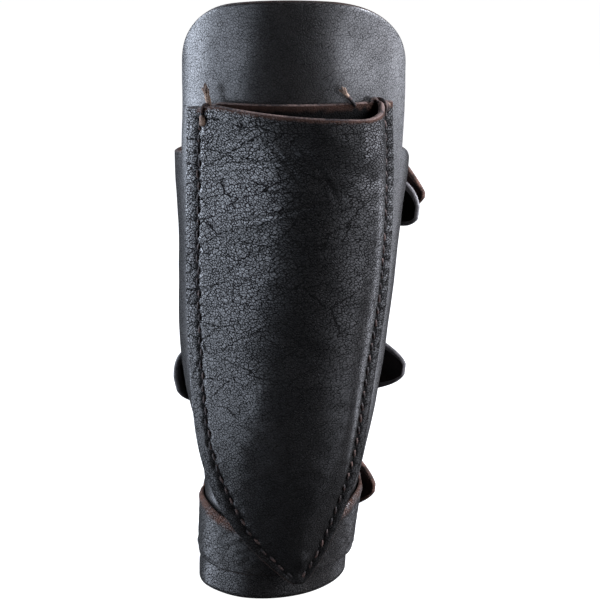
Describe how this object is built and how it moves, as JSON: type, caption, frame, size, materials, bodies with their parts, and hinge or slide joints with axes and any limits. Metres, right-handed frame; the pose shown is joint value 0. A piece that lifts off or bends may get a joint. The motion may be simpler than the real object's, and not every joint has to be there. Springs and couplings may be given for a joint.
{
  "type": "forearm bracer with dagger sheath",
  "caption": "Tapered leather forearm guard, open at the back, with a stitched dagger sheath raised on its front, a second layer round the wrist and buckled straps behind.",
  "frame": {"origin": "middle of the bounding box footprint, on the surface that the wrist hem stands on", "axes": "+Z from the wrist hem to the elbow end, -Y the front that carries the sheath, +X the right of the picture"},
  "size_m": [0.1178, 0.1163, 0.2715],
  "materials": {
    "shell_leather": "black pebbled leather, softly waxed",
    "band_leather": "black coarse-grained leather with a raw brown upper edge",
    "sheath_leather": "black creased leather, waxed, with raw brown cut edges",
    "strap_leather": "black leather with a brown flesh side",
    "buckle_steel": "plain dull steel"
  },
  "bodies": {
    "root": {"forearm_shell": "shell_leather", "wrist_band": "band_leather", "sheath_back": "sheath_leather", "sheath_front": "sheath_leather", "strap_upper": "strap_leather", "strap_middle": "strap_leather", "strap_lower": "strap_leather", "chape_upper": "strap_leather", "chape_middle": "strap_leather", "chape_lower": "strap_leather", "buckle_upper": "buckle_steel", "buckle_middle": "buckle_steel", "buckle_lower": "buckle_steel"}
  },
  "joints": []
}
